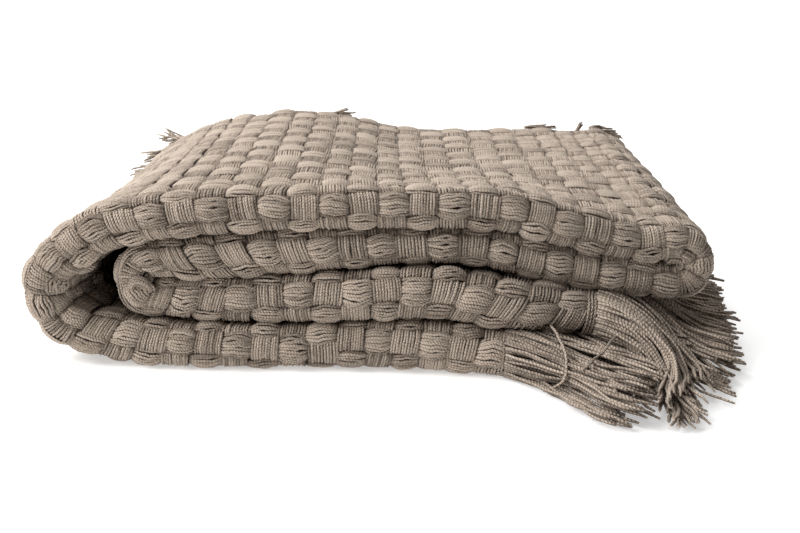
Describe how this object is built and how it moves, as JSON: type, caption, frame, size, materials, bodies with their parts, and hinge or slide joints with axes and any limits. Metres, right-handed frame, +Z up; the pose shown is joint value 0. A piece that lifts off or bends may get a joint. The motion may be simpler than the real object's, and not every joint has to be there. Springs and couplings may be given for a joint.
{
  "type": "folded throw blanket",
  "caption": "Basket-woven cotton throw with twisted fringe on its edges, folded into a low pile of layers for a shelf or a bed end.",
  "frame": {"origin": "on the surface that the folded throw lies on, under the middle of the pile", "axes": "+Z up, -Y is the front with the rounded folds, +X is the side where both fringed short ends come out"},
  "size_m": [0.5119, 0.4963, 0.1181],
  "materials": {
    "cotton_weave": "matt thick two-ply cotton yarn, basket woven",
    "cotton_fringe": "matt loose twisted cotton strands"
  },
  "bodies": {
    "root": {"cloth": "cotton_weave", "fringe_end_lower": "cotton_fringe", "fringe_end_upper": "cotton_fringe", "fringe_side_outer": "cotton_fringe", "fringe_side_inner": "cotton_fringe"}
  },
  "joints": []
}
